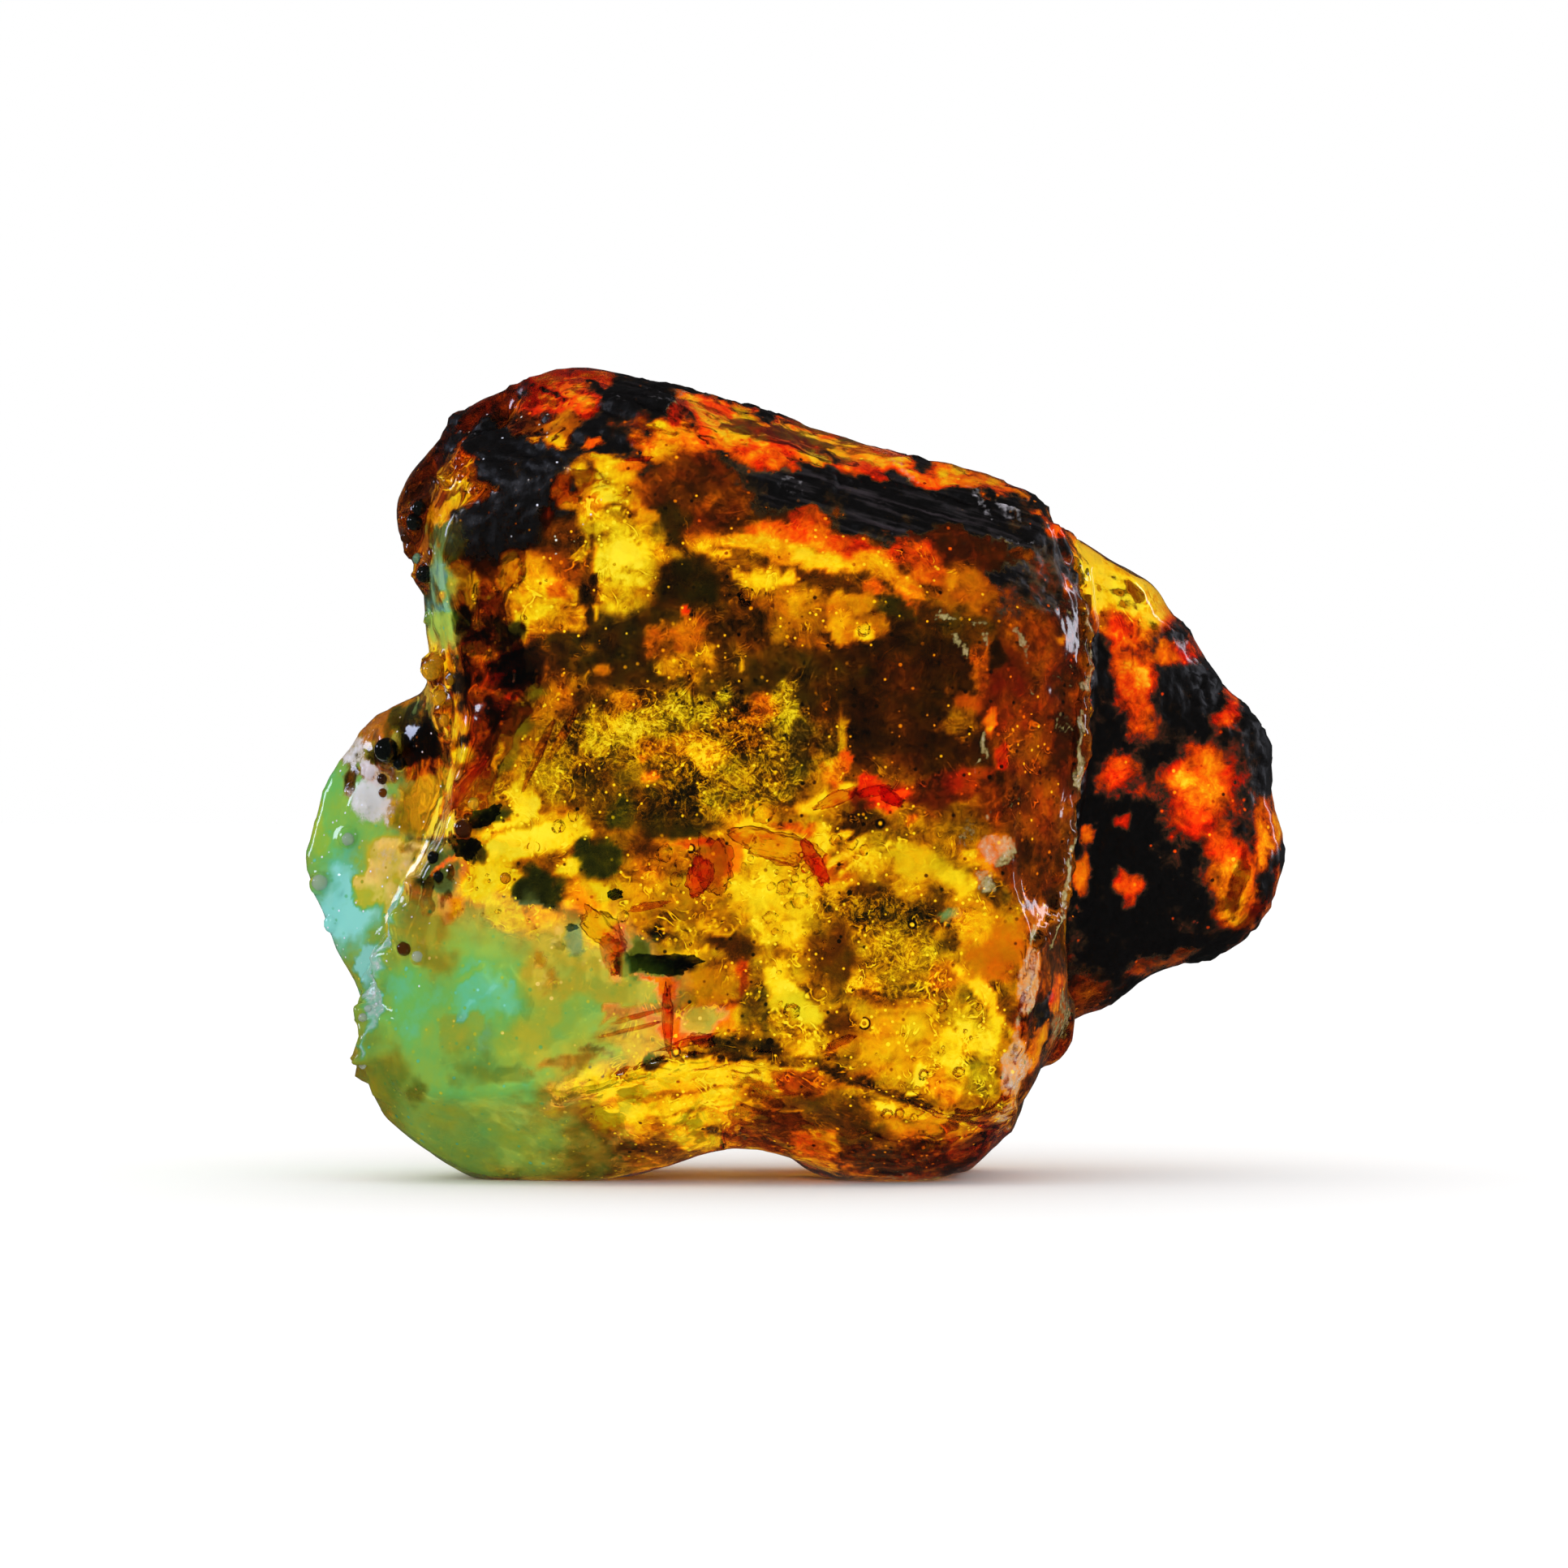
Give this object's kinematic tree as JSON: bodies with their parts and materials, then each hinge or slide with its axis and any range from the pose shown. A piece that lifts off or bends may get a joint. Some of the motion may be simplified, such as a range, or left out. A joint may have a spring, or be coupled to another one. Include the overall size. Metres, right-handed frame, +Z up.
{
  "type": "rough blue amber",
  "caption": "Rough lump of blue amber with a clear broken face, a dark crust, a lobe behind on one side and a rim of fused drops, standing on two small flats.",
  "frame": {"origin": "the middle of the underside of the lump's box, on the surface that it stands on", "axes": "+X along the lump's width, to the right as seen from its clear face; +Y away from the viewer, through its thickness; +Z up"},
  "size_m": [0.061, 0.0316, 0.0498],
  "materials": {
    "amber": "see-through golden to brown resin, glossy on the broken face, with a dull dark crust and a milky green-blue side"
  },
  "bodies": {
    "root": {"rough_amber": "amber"}
  },
  "joints": []
}
